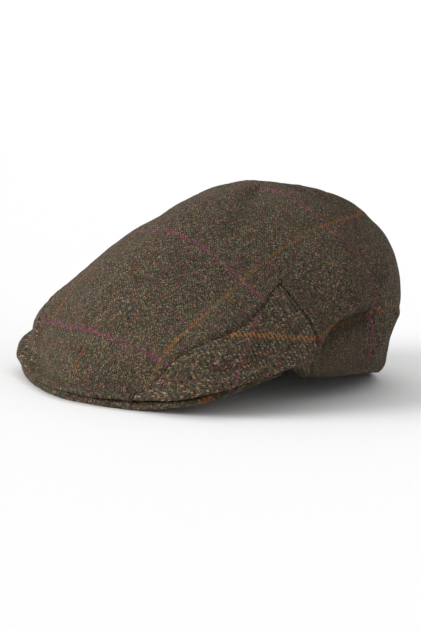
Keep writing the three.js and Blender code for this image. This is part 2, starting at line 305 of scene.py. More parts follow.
    def frame_at(self, turn, up):
        """Base point, outward direction, and millimetres per step of turn and up."""
        turn_step, up_step, least = 0.6, 0.012, 0.01
        base = self.leaned(turn, up)
        along = self.leaned(turn + turn_step, up) - self.leaned(turn - turn_step, up)
        above, below = np.minimum(1, up + up_step), np.maximum(-1, up - up_step)
        upward = self.leaned(turn, above) - self.leaned(turn, below)
        outward = unit(np.cross(along, upward))
        outward[up > 0.999] = (0, 0, 1)
        per_turn = np.maximum(np.linalg.norm(along, axis=-1) / (2 * turn_step), least)
        per_up = np.maximum(np.linalg.norm(upward, axis=-1) / (2 * up_step), least)
        return base, outward, per_turn, per_up

    def fold_height(self, point):
        """Height of the folds, the dents and the back seam's valley at a point."""
        height = 0
        for start, end, width, high in self.folds:
            line = end - start
            t = np.clip(((point - start) @ line) / (line @ line), 0, 1)
            away = np.linalg.norm(point - start - t[..., None] * line, axis=-1)
            height = height + high * np.exp(-((away / width) ** 2))
        valley = BACK_SEAM["depth"] * np.exp(-((point[..., 0] / BACK_SEAM["width"]) ** 2))
        return height - past_seam_start(point) * valley


def past_seam_start(point):
    """0 before the back seam's start and 1 along it."""
    return ease((point[..., 1] - BACK_SEAM["start"]) / BACK_SEAM["fade"])


class Grain:
    """Lays the cloth's grain on the cap: millimetres across and along the cloth."""

    def __init__(self, form):
        self.fan = PULL["fan"]
        t = np.linspace(0, 1, 400)
        front = form.smooth(0 * t, t)
        back = form.smooth(180 + 0 * t, 1 - t)
        line = np.concatenate([front, back[1:]])[:, 1:]
        arc = arc_length(line)
        angle = np.arctan2(line[:, 1], self.fan - line[:, 0])
        order = np.argsort(angle)
        self.angle, self.arc = angle[order], arc[order]
        self.reach = np.hypot(line[:, 0] - self.fan, line[:, 1])[order]

    def crown(self, p):
        """Along the middle line from the front, and across it over the curve of the side."""
        x, y, z = p[..., 0], p[..., 1], p[..., 2]
        ahead = np.minimum(y, self.fan)
        angle = np.arctan2(z, self.fan - ahead)
        along = np.interp(angle, self.angle, self.arc)
        top = np.interp(angle, self.angle, self.reach)
        depth = np.maximum(top - np.hypot(self.fan - ahead, z), 0)
        behind = np.maximum(y - self.fan, 0)
        flat = np.hypot(x, behind)
        chord = np.hypot(flat, depth)
        bend = np.maximum(np.arctan2(depth, flat), 1e-3)
        across = np.where(x < 0, -1, 1) * chord * bend / np.sin(bend)
        round_back = np.arctan2(behind, np.maximum(np.abs(x), 1e-6)) * ease(flat / PULL["blend"])
        along = along + PULL["round_back"] * round_back
        gather_fade = 1 - ease((along - PULL["gather_from"]) / PULL["gather_over"])
        sweep_fade = 1 - ease((along - PULL["sweep_from"]) / PULL["sweep_over"])
        droop_rise = ease((along - PULL["droop_start"]) / PULL["droop_over"])
        gather = PULL["gather"] * across * gather_fade
        sweep = PULL["sweep"] * np.clip(across, 0, PULL["sweep_width"]) ** 2 * sweep_fade
        hanging = np.clip(np.abs(across) - PULL["droop_from"], 0, PULL["droop_width"])
        return across + gather, along + sweep - PULL["droop"] * hanging * droop_rise

    def gusset(self, p, side):
        """On the gusset's own plane, carried on round its lower edge, with the cloth skewed."""
        skew, edge, edge_start, edge_fade = 0.46, 6, -45, 25
        start = np.array([80, -65, 45])
        rise = np.array([-0.35, 0.192, 0.917])
        run = np.array([0.398, 0.916, -0.04])
        inward = np.array([-0.848, 0.351, -0.397])
        q = p * np.array([side, 1, 1]) - start
        under = ease((q @ run - edge_start) / edge_fade) * np.maximum(q @ inward - edge, 0)
        across = q @ rise - under
        return across, q @ run - skew * across


def near_line(points, line):
    """Distance to a dense line of points, the place along it and the height above it."""
    arc = arc_length(line)
    flat = points.reshape(-1, 3)
    away, place, above = np.empty(len(flat)), np.empty(len(flat)), np.empty(len(flat))
    batch = 4000
    for start in range(0, len(flat), batch):
        some = slice(start, start + batch)
        part = flat[some]
        gap = np.linalg.norm(part[:, None] - line[None], axis=2)
        best = gap.argmin(1)
        away[some] = gap[np.arange(len(part)), best]
        place[some] = arc[best]
        above[some] = part[:, 2] - line[best, 2]
    shape = points.shape[:-1]
    return away.reshape(shape), place.reshape(shape), above.reshape(shape)


def even_steps(line, step):
    """The same line with its points an even step apart."""
    arc = arc_length(line)
    places = np.arange(step / 2, arc[-1], step)
    return np.stack([np.interp(places, arc, line[:, k]) for k in range(3)], -1)


def soft_waves(points, shortest, longest, count, seed):
    """Gentle unevenness of the cloth, from -1 to 1."""
    random = np.random.RandomState(seed)
    total = np.zeros(points.shape[:-1])
    for _ in range(count):
        direction = unit(random.normal(size=3))
        length = random.uniform(shortest, longest)
        total += np.sin(points @ direction * 2 * math.pi / length + random.uniform(0, 2 * math.pi))
    return total / math.sqrt(count)


def steps(start, end, count):
    """Even steps from start, without the end."""
    return list(np.linspace(start, end, count, endpoint=False))


class Layout:
    """Columns and rows of the cloth, with lines that follow the seams."""

    def __init__(self, form):
        front, rear = form.gusset_front, form.gusset_rear
        side_reach, back_reach = 96, 120
        near_seam = [0.25, 0.6, 1.1, 1.8, 2.7, 4.2]
        near_back = [0.5, 1.1, 1.9, 2.9, 4.0, 5.2, 6.6, 8.6]
        degrees = [math.degrees(mm / side_reach) for mm in near_seam]
        behind = [180 - math.degrees(mm / back_reach) for mm in near_back]
        before = [-d for d in reversed(degrees)]
        past = degrees[-1] + 1.2
        side = steps(0, front - degrees[-1], 8)
        side += [front + d for d in before + [0] + degrees]
        side += steps(front + past, rear - degrees[-1], 26)
        side += [rear + d for d in before + [0] + degrees]
        side += steps(rear + past, behind[-1], 62) + list(reversed(behind))
        self.turn = np.array(side + [180] + [-turn for turn in reversed(side[1:])])
        self.front = side.index(front)
        self.rear = side.index(rear)
        low = [-1, -0.985, -0.965] + steps(-0.94, 0, 34) + [0]
        lips = [0.0035, 0.008, 0.014, 0.022, 0.033]
        seam = form.seam_up(self.turn)[:, None]
        below = [np.full_like(seam, up) for up in low]
        below += [seam * share for share in steps(0.06, 0.93, 18)]
        below += [seam - lip * np.minimum(1, seam / 0.4) for lip in reversed(lips)]
        above = [seam + lip for lip in lips]
        above += [mix(seam, 1, share) for share in steps(0.09, 1, 46) + [0.985]]
        above += [1 + 0 * seam]
        self.seam_row = len(below)
        self.rows = len(below) + 1 + len(above)
        self.up = np.concatenate(below + [seam] + above, axis=1)
        self.turns = np.repeat(self.turn[:, None], self.rows, axis=1)
        count = len(self.turn)
        place = np.minimum(np.arange(count), count - np.arange(count))
        start = np.minimum(place, np.roll(place, -1))
        inside = (start >= self.front) & (start < self.rear)
        self.gusset_cells = inside[:, None] & (np.arange(self.rows - 1) < self.seam_row)[None]
        self.left_cells = self.gusset_cells & (np.arange(count) < count / 2)[:, None]
        self.place = place


def seam_lines(form):
    """The gussets' seams as dense lines in millimetres."""
    lines, step = {}, 0.7
    for side, name in ((1, "left"), (-1, "right")):
        low = np.linspace(-1, SEAM_STEPS[0], 60)
        turn = np.linspace(form.gusset_front, form.gusset_rear, 160)
        ups = np.concatenate([low, form.seam_up(turn)[1:]])
        turns = np.concatenate([0 * low + form.gusset_front, turn[1:]])
        lines["top_" + name] = even_steps(form.leaned(side * turns, ups), step)
        ups = np.linspace(SEAM_STEPS[-1], -1, 160)
        lines["rear_" + name] = even_steps(form.leaned(side * form.gusset_rear + 0 * ups, ups), step)
    return lines


def crease_lines(form):
    """The creases on both sides as dense lines, with their measures."""
    lines = []
    for name, path in CREASE_PATHS.items():
        ends = np.linspace(0, 1, len(path))
        share = np.linspace(0, 1, 80)
        turn, up = (np.interp(share, ends, np.array(path)[:, k]) for k in (0, 1))
        for side in (1, -1):
            lines.append((form.leaned(side * turn, up),) + CREASES[name])
    return lines


class Sheet:
    """One panel of cloth over its cells of the layout."""

    def __init__(self, form, layout, cells, is_gusset, look):
        self.form = form
        turn, up = layout.turns.copy(), layout.up.copy()
        sign = np.sign(turn)
        inward = 1 if is_gusset else -1
        rows = np.arange(layout.rows)
        front = (layout.place == layout.front)[:, None] & (rows <= layout.seam_row)[None]
        rear = (layout.place == layout.rear)[:, None] & (rows <= layout.seam_row)[None]
        spans = (layout.place >= layout.front) & (layout.place <= layout.rear)
        top = spans[:, None] & (rows == layout.seam_row)[None]
        _, _, per_turn, per_up = form.frame_at(turn, up)
        half = look.seam_gap / MM / 2
        up = up - top * inward * half / per_up
        turn = turn + front * sign * inward * half / per_turn - rear * sign * inward * half / per_turn
        base, outward, _, _ = form.frame_at(turn, up)
        self.fold = form.fold_height(base)
        self.point = base + outward * self.fold[..., None]
        self.outward = outward
        self.turn, self.up, self.cells = turn, up, cells
        self.is_gusset = is_gusset

    def relief(self, lines, look):
        """Heights of the seams, creases and softness of the cloth over the folded form, and the
        painted shade that darkens its colour where it sinks in.
        """
        p = self.point
        small, seam_fade, edge_fade, far = 0.12, 0.35, 0.06, 100.0
        rim_depth, rim_up, rim_width, rim_from, rim_over = 0.25, -0.72, 0.08, 72, 8
        painted_shade_from, painted_shade_over = -1.5, 5
        height = look.unevenness / MM * soft_waves(p, shortest=22, longest=70, count=16, seed=11)
        height = height + small * soft_waves(p, shortest=7, longest=14, count=14, seed=5)
        fade = ease((1 + self.up) / seam_fade)
        clear = far
        for name, line in lines.items():
            away, place, _ = near_line(p, line)
            clear = np.minimum(clear, away)
            height += self.seam(look, away, place, name.startswith("rear")) * fade
        if not self.is_gusset:
            height = self.creased(height, clear)
            height = self.back_seam(height)
        edge = ease((1 + self.up) / edge_fade)
        rim_seam = ring(self.up, rim_up, rim_width) * ease((np.abs(self.turn) - rim_from) / rim_over)
        self.height = height * edge - rim_depth * rim_seam
        # Painted shade: the deeper the cloth sinks into a seam, crease or hollow, the darker its
        # colour is painted
        self.sunk = ease((painted_shade_from - self.fold - self.height) / painted_shade_over)
        return self

    def seam(self, look, away, place, is_rear):
        """A seam's groove, its raised lip and the puckers its stitches pull."""
        depth, width = (1.6, 1.05) if is_rear else (1, 0.85)
        lip = 0.25 if self.is_gusset else 0.75
        lip_place, lip_width = 2.6, 1.7
        pucker_length, pucker_place, pucker_width, tight_length = 4.4, 1.0, 1.5, 7.6
        pucker = np.cos(place * 2 * math.pi / pucker_length + 0.7 * np.sin(place * 0.31))
        tight = np.sin(place * 2 * math.pi / tight_length + 1.7 * np.sin(place * 0.23))
        seam = -look.seam_depth / MM * depth * (0.8 + 0.35 * tight) * ring(away, 0, width)
        seam += lip * ring(away, lip_place, lip_width)
        seam -= look.pucker / MM * (0.5 + 0.5 * pucker) * ring(away, pucker_place, pucker_width)
        return seam

    def creased(self, height, clear):
        """The creases, which fade out at their ends and near a seam."""
        end_fade, seam_fade = 14, 5
        over_place, over_width, hollow_place, hollow_width = 4, 3, -8, 6
        for line, depth, width, over, hollow in crease_lines(self.form):
            away, place, above = near_line(self.point, line)
            fade = ease(place / end_fade) * ease((place.max() - place) / end_fade)
            fade = fade * ease((clear - 0.5) / seam_fade)
            signed = away * np.clip(above / 2, -1, 1)
            height = height - fade * depth * ring(away, 0, width)
            height = height + fade * over * ring(signed, over_place, over_width)
            height = height - fade * hollow * ring(signed, hollow_place, hollow_width)
        return height

    def back_seam(self, height):
        """The back seam's groove, the ridge on each side of it and the topstitch's groove."""
        away = np.abs(self.point[..., 0])
        ridge = ring(away, BACK_SEAM["ridge_place"], BACK_SEAM["ridge_width"])
        stitches = ring(away, BACK_SEAM["stitch_place"], BACK_SEAM["stitch_width"])
        across = -BACK_SEAM["groove"] * ring(away, 0, BACK_SEAM["groove_width"])
        across += BACK_SEAM["ridge"] * ridge - BACK_SEAM["stitch_depth"] * stitches
        return height + past_seam_start(self.point) * across

    def number_points(self):
        """A number for each point of the panel. The top is one point for all columns."""
        used = np.zeros(self.turn.shape, bool)
        rows = np.arange(used.shape[1])
        for di, dj in ((0, 0), (1, 0), (0, 1), (1, 1)):
            used |= np.roll(np.pad(self.cells, ((0, 0), (0, 1))), (di, dj), (0, 1)) & (rows >= dj)
        has_top = used[:, -1].any()
        used[1:, -1] = False
        index = np.full(used.shape, -1)
        index[used] = np.arange(used.sum())
        if has_top:
            index[:, -1] = index[0, -1]
        return index, used

    def free_edges(self, index):
        """The start and end of each step round the panel's free edges."""
        cells = self.cells
        left = cells & ~np.roll(cells, 1, 0)
        right = cells & ~np.roll(cells, -1, 0)
        below = cells & ~np.pad(cells, ((0, 0), (1, 0)))[:, :-1]
        above = cells & ~np.pad(cells, ((0, 0), (0, 1)))[:, 1:]
        above[:, -1] = False
        edges = []
        around = [(0, 0), (1, 0), (1, 1), (0, 1), (0, 0)]
        for mask, start, end in zip((below, right, above, left), around, around[1:]):
            i, j = np.nonzero(mask)
            starts = index[(i + start[0]) % len(index), j + start[1]]
            ends = index[(i + end[0]) % len(index), j + end[1]]
            edges += zip(starts.tolist(), ends.tolist())
        return edges

    def inner_height(self, thickness):
        """Height of the cloth's inner face. The cloth is thinner where the front rolls under."""
        thinner, follows, deepest, thickest = 0.45, 0.6, -0.5, 0.3
        front = 1 - ease((np.abs(self.turn) - 50) / 25)
        rolled = front * ease((0.12 - self.up) / 0.4)
        inside = np.minimum(follows * np.maximum(self.height, deepest), self.height + thickest)
        return inside - thickness * (1 - thinner * rolled)

    def mesh(self, name, grain, thickness, shift):
        """Outer and inner faces joined round the edges, with the grain as a UV map."""
        rim_bulge = 0.22
        index, used = self.number_points()
        total = int(used.sum())
        outer = (self.point + self.outward * self.height[..., None])[used]
        inner = (self.point + self.outward * self.inner_height(thickness)[..., None])[used]
        faces, inside = [], []
        i, j = np.nonzero(self.cells)
        after = (i + 1) % len(index)
        quads = np.stack([index[i, j], index[after, j], index[after, j + 1], index[i, j + 1]], -1)
        for quad in quads.tolist():
            corners = [q for k, q in enumerate(quad) if q != quad[k - 1]]
            faces.append(corners)
            inside.append([total + q for q in reversed(corners)])
        edges = self.free_edges(index)
        away = np.zeros((total, 3))
        for start, end in edges:
            side = np.cross(outer[end] - outer[start], inner[start] - outer[start])
            away[start] -= side
            away[end] -= side
        bulge = unit(away) * thickness * rim_bulge
        rims, middles = {}, []
        for start, _ in edges:
            rims[start] = 2 * total + len(middles)
            middles.append((outer[start] + inner[start]) / 2 + bulge[start])
        for start, end in edges:
            faces.append([end, start, rims[start], rims[end]])
            inside.append([rims[end], rims[start], total + start, total + end])
        points = np.concatenate([outer, inner, np.array(middles)])
        grain_mm = np.stack(grain(points), -1)
        mesh = new_mesh(name, (points + shift) * MM, faces + inside, grain_mm * MM)
        # Painted shade for the seams, creases and hollows, on the outer face only
        sunk = np.zeros(len(points))
        sunk[:total] = self.sunk[used]
        mesh.attributes.new("sunk", "FLOAT", "POINT").data.foreach_set("value", sunk)
        mesh.polygons.foreach_set("material_index", [0] * len(faces) + [1] * len(inside))
        mesh.update()
        return mesh


def new_mesh(name, points, faces, grain=None):
    """Smooth mesh in metres, with the grain of its points as a UV map."""
    mesh = bpy.data.meshes.new(name)
    mesh.from_pydata(np.asarray(points, float).tolist(), [], faces)
    mesh.polygons.foreach_set("use_smooth", [True] * len(faces))
    if grain is not None:
        corners = np.empty(len(mesh.loops), int)
        mesh.loops.foreach_get("vertex_index", corners)
        mesh.uv_layers.new(name="grain").data.foreach_set("uv", grain[corners].ravel())
    mesh.update()
    return mesh


def add_piece(name, mesh, materials, nodes=()):
    """Puts a mesh in the scene, riding on the cap, in place of its solids."""
    mesh.validate()
    piece = bpy.data.objects.new(name, mesh)
    bpy.context.scene.collection.objects.link(piece)
    for material in materials:
        mesh.materials.append(material)
    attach(piece, "root")
    if nodes:
        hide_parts(*nodes)
    return piece


class Value:
    """A shader socket that takes part in Python expressions."""

    def __init__(self, shade, socket):
        self.shade = shade
        self.socket = socket

    def math(self, operation, *others):
        inputs = dict(enumerate((self,) + others))
        return self.shade.node("ShaderNodeMath", {"operation": operation}, inputs)

    def __add__(self, other):
        return self.math("ADD", other)

    __radd__ = __add__

    def __sub__(self, other):
        return self.math("SUBTRACT", other)

    def __rsub__(self, other):
        return (self * -1) + other

    def __mul__(self, other):
        return self.math("MULTIPLY", other)

    __rmul__ = __mul__

    def __truediv__(self, other):
        return self.math("DIVIDE", other)

    def __abs__(self):
        return self.math("ABSOLUTE")

    def __mod__(self, other):
        return self.math("FLOORED_MODULO", other)

    def __lt__(self, other):
        return self.math("LESS_THAN", other)

    def __gt__(self, other):
        return self.math("GREATER_THAN", other)

    def floor(self):
        return self.math("FLOOR")

    def sine(self):
        return self.math("SINE")

    def between(self, low, high):
        """0 below low, 1 above high and smooth in between."""
        settings = {"interpolation_type": "SMOOTHSTEP"}
        inputs = {"Value": self, "From Min": low, "From Max": high}
        return self.shade.node("ShaderNodeMapRange", settings, inputs)


class Shade:
    """A material built node by node."""

    def __init__(self, name):
        self.material = bpy.data.materials.new(name)
        self.material.use_nodes = True
        self.tree = self.material.node_tree
        self.tree.nodes.clear()

    def node(self, kind, settings, inputs, output=0):
        made = self.tree.nodes.new(kind)
        for key, value in settings.items():
            if key == "stops":
                while len(made.color_ramp.elements) < len(value):
                    made.color_ramp.elements.new(1)
                for element, (place, color) in zip(made.color_ramp.elements, value):
                    element.position = place
                    element.color = tuple(color) + (1,)
            elif key == "ramp":
                made.color_ramp.interpolation = value
            else:
                setattr(made, key, value)
        for key, value in inputs.items():
            socket = made.inputs[key]
            if isinstance(value, Value):
                self.tree.links.new(value.socket, socket)
            else:
                socket.default_value = value
        return Value(self, made.outputs[output])

    def place(self):
        """The point in the object's own frame, in metres."""
        return self.node("ShaderNodeTexCoord", {}, {}, 3)

    def grain(self):
        """Metres across and along the cloth."""
        grain = self.node("ShaderNodeUVMap", {"uv_map": "grain"}, {})
        return [self.node("ShaderNodeSeparateXYZ", {}, {"Vector": grain}, k) for k in (0, 1)]

    def noise(self, place, scale, detail, roughness=0.5):
        inputs = {"Vector": place, "Scale": scale, "Detail": detail, "Roughness": roughness}
        return self.node("ShaderNodeTexNoise", {}, inputs)

    def ramp(self, value, stops, kind):
        return self.node("ShaderNodeValToRGB", {"stops": stops, "ramp": kind}, {"Fac": value})

    def times(self, color, value):
        """A colour made darker or lighter by a value."""
        grey = self.node("ShaderNodeCombineXYZ", {}, {"X": value, "Y": value, "Z": value})
        return self.blend(1.0, color, grey, "MULTIPLY")

    def blend(self, share, a, b, kind="MIX"):
        """Mixes two colours."""
        settings = {"data_type": "RGBA", "blend_type": kind, "clamp_factor": True}
        color = lambda c: c if isinstance(c, Value) else tuple(c) + (1,)
        return self.node("ShaderNodeMix", settings, {0: share, 6: color(a), 7: color(b)}, 2)

    def finish(self, **inputs):
        named = {key.replace("_", " "): value for key, value in inputs.items()}
        surface = self.node("ShaderNodeBsdfPrincipled", {}, named)
        made = self.tree.nodes.new("ShaderNodeOutputMaterial")
        self.tree.links.new(surface.socket, made.inputs["Surface"])
        return self.material


def fleck(shade, number, place, length, seed):
    """Random value that stays the same along a short length of one yarn."""
    spot = ((place + number) / length).floor()
    key = shade.node("ShaderNodeCombineXYZ", {}, {"X": number, "Y": spot, "Z": seed})
    return shade.node("ShaderNodeTexWhiteNoise", {"noise_dimensions": "3D"}, {"Vector": key})


def check_line(place, spacing, start, width):
    """1 on the check's lines and 0 between them."""
    away = abs((place - start + spacing / 2) % spacing - spacing / 2)
    return away < width / 2


def flecked(shade, look, number, place, seed):
    """Colour of one yarn with short flecks, and finer fibres laid over it."""
    colors = [
        look.dark, look.olive, look.brown, look.dark, look.slate, look.brown, look.rust, look.olive,
        look.tan,
    ]
    stops = [(k / len(colors), tuple(color)) for k, color in enumerate(colors)]
    yarn_length, fibre_length, fibres, fibre_share = 3.0, 2.0, 2.5, 0.35
    yarn = fleck(shade, number.floor(), place, yarn_length, seed[0])
    fibre = fleck(shade, (number * fibres).floor(), place * 1.5, fibre_length, seed[1])
    paint = [shade.ramp(value, stops, "CONSTANT") for value in (yarn, fibre)]
    return shade.blend(fibre_share, *paint)


def tinged(shade, look, place, color):
    """The colour with soft clouds of tinge, as in mixed wool."""
    tints = [look.plum_tint, look.rust_tint, look.plain_tint, look.olive_tint, look.slate_tint]
    lowest, spacing = 0.32, 0.09
    stops = [(lowest + spacing * k, tuple(tint)) for k, tint in enumerate(tints)]
    tinge = shade.ramp(shade.noise(place, 190.0, 1.5), stops, "EASE")
    return shade.blend(1.0, color, tinge, "MULTIPLY")


def cloth(
    name, look, tone_and_painted_light=1.0, wrong_side=False, gold_start=None, plum_start=None, plum_share=1.0,
    ribs=0.1, rib_yarns=4,
):
    """Wool twill woven from flecked yarns, with thin lines of the check.

    u and v number the yarns across and along the cloth, and rib_yarns is a rib's width in yarns.
    """
    shade = Shade(name)
    place = shade.place()
    across, along = shade.grain()
    wander = shade.noise(place, 55.0, 2.0)
    u = across / look.yarn + wander * 1.6
    v = along / look.yarn + wander * -1.4
    face = (u.floor() + v.floor()) % rib_yarns < rib_yarns / 2
    if wrong_side:
        face = 1 - face

    # Yarns, with a few bright flecks
    warp = flecked(shade, look, u, v, (1.0, 2.0))
    weft = flecked(shade, look, v, u, (7.0, 5.0))
    spark, rare, spark_share = fleck(shade, u.floor(), v, 4.0, 3.0), 0.03, 0.35
    warp = shade.blend((spark > 1 - rare) * spark_share, warp, look.plum)
    warp = shade.blend((spark < rare) * spark_share, warp, look.gold)

    # Lines of the check, worn away in places
    gold_start = look.gold_start if gold_start is None else gold_start
    plum_start = look.plum_start if plum_start is None else plum_start
    worn = shade.noise(place, 16.0, 1.0).between(0.38, 0.62)
    outer = abs(across - gold_start) > look.gold_spacing / 2
    lengthwise = check_line(across, look.gold_spacing, gold_start, look.gold_width)
    lengthwise = lengthwise * (0.35 + worn * 0.55) * (0.35 + outer * 0.65)
    broken = fleck(shade, v.floor(), u, 3.0, 11.0)
    crosswise = check_line(along, look.plum_spacing, plum_start, look.plum_width)
    crosswise = crosswise * (0.4 + broken * 0.55) * (1 - worn * 0.55) * plum_share
    gold = shade.blend(fleck(shade, u.floor(), v, 4.0, 9.0), look.gold, look.amber)
    plum = shade.blend(fleck(shade, v.floor(), u, 5.0, 4.0), look.plum, look.heather)
    warp = shade.blend(lengthwise, warp, gold)
    weft = shade.blend(crosswise, weft, plum)
    color = tinged(shade, look, place, shade.blend(face, weft, warp))

    # Painted shade between the yarns, along the ribs and in the seams, creases and hollows, with soft
    # random patches of darker and lighter tone
    patch = shade.noise(place, 130.0, 3.0, 0.6)
    cloud = shade.noise(place, 26.0, 2.0)
    hair = shade.noise(place, 1400.0, 2.0)
    height = face * (u % 1 * math.pi).sine() + (1 - face) * (v % 1 * math.pi).sine()
    wale = ((u + v) % rib_yarns * (2 * math.pi / rib_yarns)).sine()
    # Painted shade in the seams, creases and hollows, read from the mesh
    sunk = shade.node("ShaderNodeAttribute", {"attribute_name": "sunk"}, {}, 2)
    depth = (0.72 + height * 0.28) * (0.9 + wale * ribs) * (1 - 0.45 * sunk)
    # The panel's own factor: painted light makes the gussets and the peak lighter than the crown, and
    # the crown's wrong side is a darker tone
    depth = depth * (0.72 + patch * 0.56) * (0.86 + cloud * 0.28) * tone_and_painted_light
    relief = height * 0.45 + wale * (1.2 / rib_yarns) + hair * 0.5 + patch * 0.6
    bump = shade.node(
        "ShaderNodeBump", {}, {"Strength": 0.75, "Distance": look.relief, "Height": relief})
    return shade.finish(
        Base_Color=shade.times(color, depth), Roughness=0.82 + hair * 0.16, Normal=bump,
        Sheen_Weight=look.fuzz, Sheen_Roughness=0.45, Sheen_Tint=tuple(look.tan) + (1,),
        Specular_IOR_Level=0.12,
    )


def thread(look):
    """Twisted sewing thread. The stitches' grain is the turn round them and metres along them."""
    shade = Shade("Sewing thread")
    around, along = shade.grain()
    plies, lay = 2, 2600
    twist = (around * plies + along * lay).sine()
    dust = shade.noise(shade.place(), 500.0, 2.0)
    # Painted shade in the grooves of the twist, where the bump is low, with random darker and lighter
    # dust
    share = (0.5 + twist * 0.3) * (0.6 + dust * 0.8)
    color = shade.blend(share, tuple(c * 0.45 for c in look.thread), look.thread)
    bump = shade.node("ShaderNodeBump", {}, {"Strength": 0.6, "Distance": 0.0001, "Height": twist})
    return shade.finish(Base_Color=color, Roughness=0.6 + dust * 0.2, Normal=bump)


def cad_shift(form):
    """From the form's own millimetres to the frame of the solids."""
    low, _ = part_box("peak")
    turn = np.linspace(-form.peak_turn, form.peak_turn, 29)
    half = form.peak_thickness / 2
    front = form.peak(turn, 1 + 0 * turn, half)[:, 1].min()
    bottom = form.peak(turn, 1 - half / form.peak_width(turn), 0)[:, 2].min()
    return np.array([0, low.y / MM - front, low.z / MM - bottom])


def peak_mesh(form, look, shift):
    """The stiff peak in its cloth, with a rounded edge and a puckered row under it."""
    columns, flat_steps, edge_steps = 181, 16, 11
    unevenness, end_fade = 0.25, 6
    turns = np.linspace(-form.peak_turn, form.peak_turn, columns)
    half = form.peak_thickness / 2
    shares = np.array(steps(0, 1, flat_steps))
    angles = np.radians(np.linspace(-90, 90, edge_steps))
    loops, grain = [], []
    for turn in turns:
        edge_share = 1 - half / form.peak_width(turn)
        out = np.concatenate([
            shares * edge_share, mix(edge_share, 1, np.cos(angles)), shares[::-1] * edge_share,
        ])
        height = np.concatenate([0 * shares, half + half * np.sin(angles), 2 * half + 0 * shares])
        loop = form.peak(turn + 0 * out, out, 0) + np.stack([0 * out, 0 * out, height], -1)
        loops.append(loop)
        over = np.where(height > half, 2 * half, 0)
        grain.append(np.stack([loop[:, 0], over - loop[:, 1]], -1))
    points = np.array(loops)
    before, after = np.roll(points, 1, 1), np.roll(points, -1, 1)
    outward = unit(np.cross(after - before, np.gradient(points, axis=0)))
    middle = points.mean(1, keepdims=True)
    outward *= np.sign(((points - middle) * outward).sum(-1).mean())
    soft = unevenness * soft_waves(points, shortest=18, longest=50, count=12, seed=3)
    soft = soft - look.pucker / MM * peak_row(form, points, turns, shares, edge_steps)
    ends = ease((form.peak_turn - np.abs(turns)) / end_fade)[:, None]
    points = points + outward * (soft * ends * 0.8)[..., None]
    count, around = points.shape[:2]
    faces = []
    for i in range(count - 1):
        for k in range(around):
            a, b = i * around + k, i * around + (k + 1) % around
            faces.append((a, a + around, b + around, b))
    for start, flipped in ((0, False), ((count - 1) * around, True)):
        for k in range(flat_steps + edge_steps // 2):
            corner = [start + k, start + k + 1, start + around - 2 - k, start + around - 1 - k]
            corner = [c for n, c in enumerate(corner) if c != corner[n - 1]]
            faces.append(corner[::-1] if flipped else corner)
    points = points.reshape(-1, 3) + shift
    return new_mesh("Peak", points * MM, faces, np.concatenate(grain) * MM)


def peak_row(form, points, turns, shares, edge_steps):
    """Puckers in a row under the peak, a little in from its edge."""
    row_place, row_width, pucker_length = 4.5, 0.9, 4.2
    share = np.concatenate([shares * 0.99, np.ones(edge_steps), shares[::-1]])
    inward = (1 - share) * form.peak_width(turns)[:, None]
    under = np.arange(len(share)) < len(shares)
    place = arc_length(points[:, len(shares) + edge_steps // 2])[:, None]
    row = ring(inward, row_place, row_width) * under
    return row * (0.7 + 0.5 * np.cos(place * 2 * math.pi / pucker_length))


def stitch_mesh(rows, look, shift):
    """Small rounded stitches one after another along each row's points and outward directions."""
    radius, step = look.thread_width / MM / 2, look.stitch / MM
    half_profile = [(0.0, 1.0), (0.3, 0.95), (0.46, 0.6), (0.5, 0.0)]
    profile = [(-place, width) for place, width in half_profile[:0:-1]] + half_profile
    length, around, tip = 0.78 * step, 8, 0.05
    points, faces, grain = [], [], []
    at = lambda place, arc, table: np.array([np.interp(place, arc, table[:, k]) for k in range(3)])
    for line, outward in rows:
        arc = arc_length(line)
        for middle in np.arange(step / 2, arc[-1], step):
            ahead = unit(at(middle + length / 2, arc, line) - at(middle - length / 2, arc, line))
            up = unit(at(middle, arc, outward))
            side = np.cross(ahead, up)
            start = len(points)
            for share, width in profile:
                lift = radius * (0.6 - 2.4 * abs(share) ** 3)
                centre = at(middle + share * length, arc, line) + up * lift
                for k in range(around):
                    turn = 2 * math.pi * k / around
                    away = side * math.cos(turn) + up * math.sin(turn)
                    points.append(centre + radius * max(width, tip) * away)
                    grain.append((turn, (middle + share * length) * MM))
            last = start + (len(profile) - 1) * around
            for first in range(start, last, around):
                for k in range(around):
                    a, b = first + k, first + (k + 1) % around
                    faces.append((a, b, b + around, a + around))
            faces.append(tuple(start + k for k in reversed(range(around))))
            faces.append(tuple(last + k for k in range(around)))
    return new_mesh("Stitching", (np.array(points) + shift) * MM, faces, np.array(grain))


def srgb(red, green, blue):
    """Linear colour of an sRGB one given as 0 to 255."""
    return tuple(((c / 255 + 0.055) / 1.055) ** 2.4 for c in (red, green, blue))


def color_property(name, description, value):
    return bpy.props.FloatVectorProperty(
        name=name, description=description, subtype="COLOR", size=3, default=value)


def length_property(name, description, value):
    return bpy.props.FloatProperty(
        name=name, description=description, default=value, unit="LENGTH", precision=5)


def share_property(name, description, value):
    return bpy.props.FloatProperty(
        name=name, description=description, default=value, subtype="FACTOR")


def angle_property(name, description, value):
    return bpy.props.FloatProperty(
        name=name, description=description, default=math.radians(value), subtype="ANGLE")


def strength_property(name, description, value):
    return bpy.props.FloatProperty(name=name, description=description, default=value)


class CapSizes(bpy.types.PropertyGroup):
    """Sizes of the cap, the same as the solids."""

    length: length_property("Length", "Front to back", 0.262)
    width: length_property("Width", "Side to side", 0.194)
    height: length_property("Height", "Surface to the top", 0.125)
    opening_width: length_property("Opening Width", "Head opening, side to side", 0.17)
    opening_length: length_property("Opening Length", "Head opening, front to back", 0.212)
    opening_set_back: length_property("Opening Set Back", "Middle of the opening, to the back", 0.014)
    top_set_back: length_property("Top Set Back", "Highest point, to the back", 0.028)
    cloth: length_property("Cloth", "Thickness of the cloth", 0.002)
    peak_thickness: length_property("Peak Thickness", "Board and cloth together", 0.0038)


